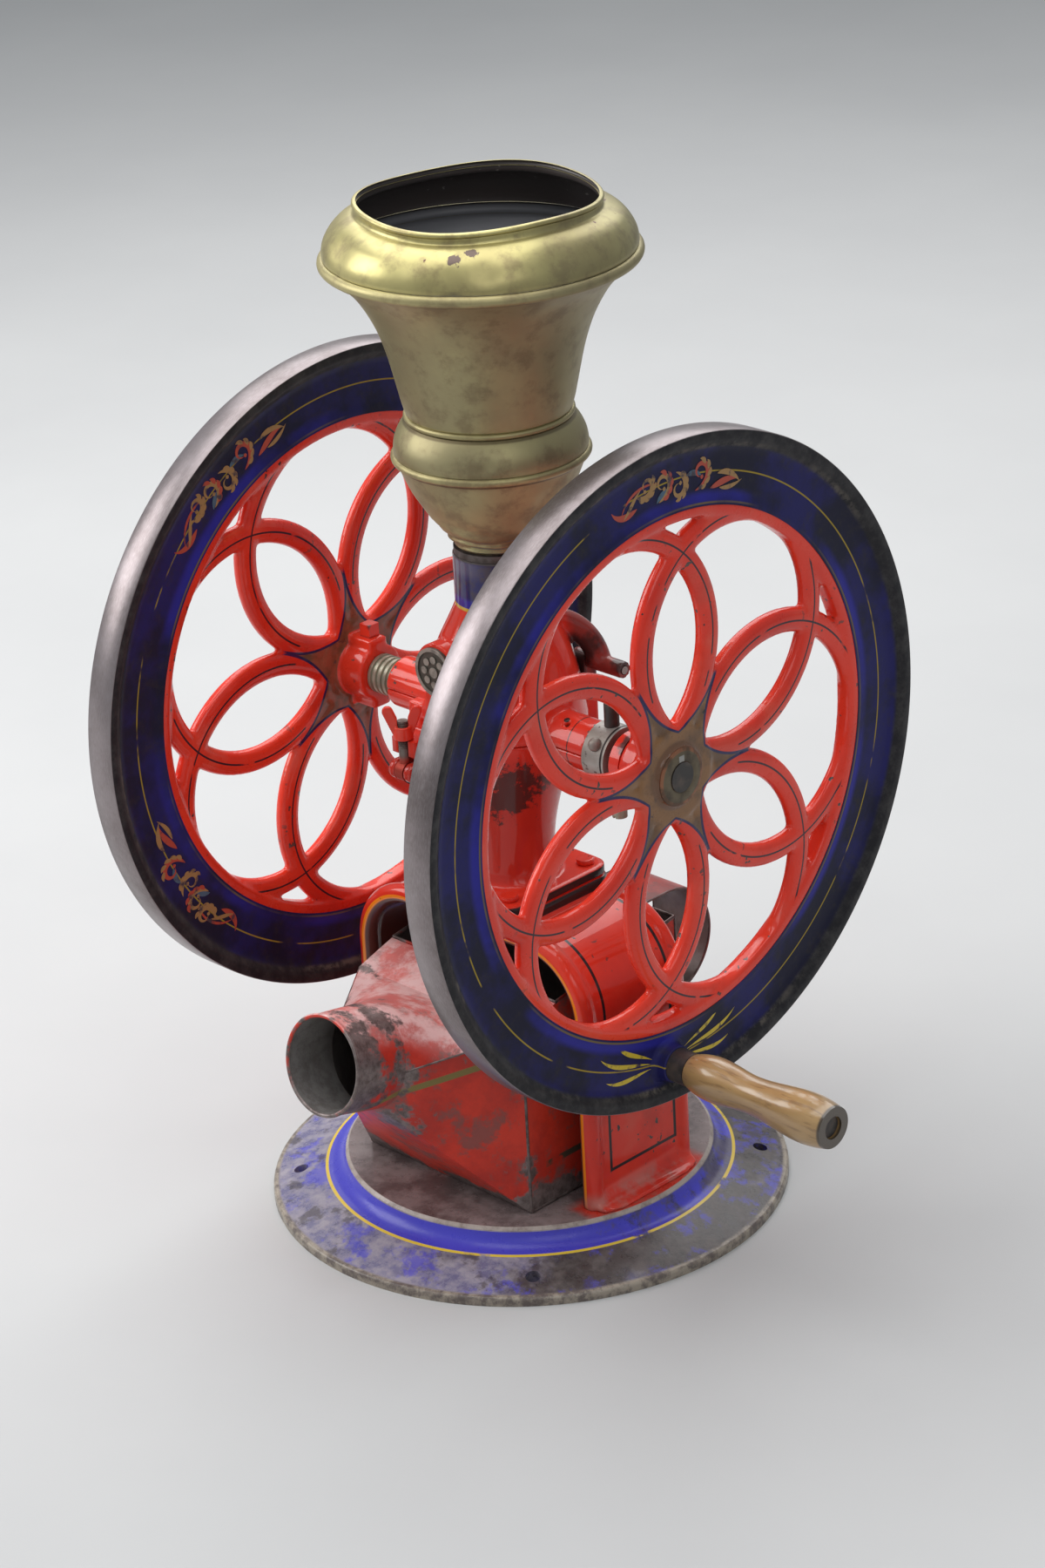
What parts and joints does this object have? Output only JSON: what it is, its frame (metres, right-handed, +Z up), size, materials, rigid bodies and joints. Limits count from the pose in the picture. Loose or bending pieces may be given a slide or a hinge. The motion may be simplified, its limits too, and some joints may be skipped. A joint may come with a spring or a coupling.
{
  "type": "coffee grinder mill",
  "caption": "Hand coffee mill: two flywheels on one axle, a split casing with burrs on a tunnel stand, a brass hopper above, a sliding bin with a spout and a wooden crank grip.",
  "frame": {"origin": "on the floor, under the middle of the round base", "axes": "+X along the axle towards the wheel with the crank, -Y to the front where the bin pours, +Z up"},
  "size_m": [0.5204, 0.495, 0.77],
  "materials": {
    "base_paint": "worn blue paint on cast iron",
    "red_paint": "worn red paint on cast iron",
    "wheel_paint": "worn red and dark blue paint on cast iron",
    "brass": "spun sheet, dulled with age",
    "bronze": "turned and oiled",
    "steel": "turned, with age marks",
    "iron": "bare and oiled",
    "wood": "turned and handled smooth",
    "tin_paint": "red paint worn to bare tin",
    "medal": "cast and dulled with age"
  },
  "bodies": {
    "frame": {"base_plate": "base_paint", "stand": "red_paint", "foot_screws": "steel", "flange_bolts": "red_paint", "lower_casing": "red_paint", "upper_casing": "red_paint", "hinge_pin": "steel", "latch_pin": "steel", "medallion": "medal", "left_bush": "bronze", "right_bush": "bronze", "fixed_burr": "iron", "hopper_bowl": "brass", "hopper_bell": "brass", "hopper_shoulder": "brass", "neck_ring": "brass"},
    "rotor": {"main_shaft": "steel", "wheel_keys": "steel", "thrust_ring": "steel", "left_collar": "bronze", "feed_worm": "iron", "turning_burr": "iron", "near_flywheel": "wheel_paint", "far_flywheel": "wheel_paint", "set_screws": "steel", "crank_pin": "steel", "crank_ferrule": "iron"},
    "grip": {"crank_grip": "wood"},
    "adjuster": {"adjuster_collar": "steel", "adjuster_lever": "steel", "lock_screw": "steel", "clamp_screw": "steel"},
    "latch": {"swing_bolt": "steel"},
    "nut": {"wing_nut": "red_paint"},
    "bin": {"bin_box": "tin_paint", "bin_hood": "tin_paint", "bin_spout": "tin_paint", "bin_handle": "tin_paint"}
  },
  "joints": [
    {"name": "flywheel_spin", "type": "hinge", "parent": "frame", "child": "rotor", "pos_m": [0, 0, 0.3785], "axis": [1, 0, 0], "continuous": true},
    {"name": "grip_spin", "type": "hinge", "parent": "rotor", "child": "grip", "pos_m": [0.259, -0.02052, 0.16147], "axis": [1, 0, 0], "continuous": true},
    {"name": "adjuster_turn", "type": "hinge", "parent": "frame", "child": "adjuster", "pos_m": [0.107, 0, 0.3785], "axis": [1, 0, 0], "range_deg": [-45, 45]},
    {"name": "latch_swing", "type": "hinge", "parent": "frame", "child": "latch", "pos_m": [-0.047, -0.059, 0.343], "axis": [1, 0, 0], "range_deg": [0, 180]},
    {"name": "wing_nut_turn", "type": "hinge", "parent": "latch", "child": "nut", "pos_m": [-0.047, -0.059, 0.37], "axis": [0, 0, 1], "continuous": true},
    {"name": "bin_slide", "type": "slide", "parent": "frame", "child": "bin", "axis": [0, -1, 0], "range_m": [0, 0.17]}
  ]
}
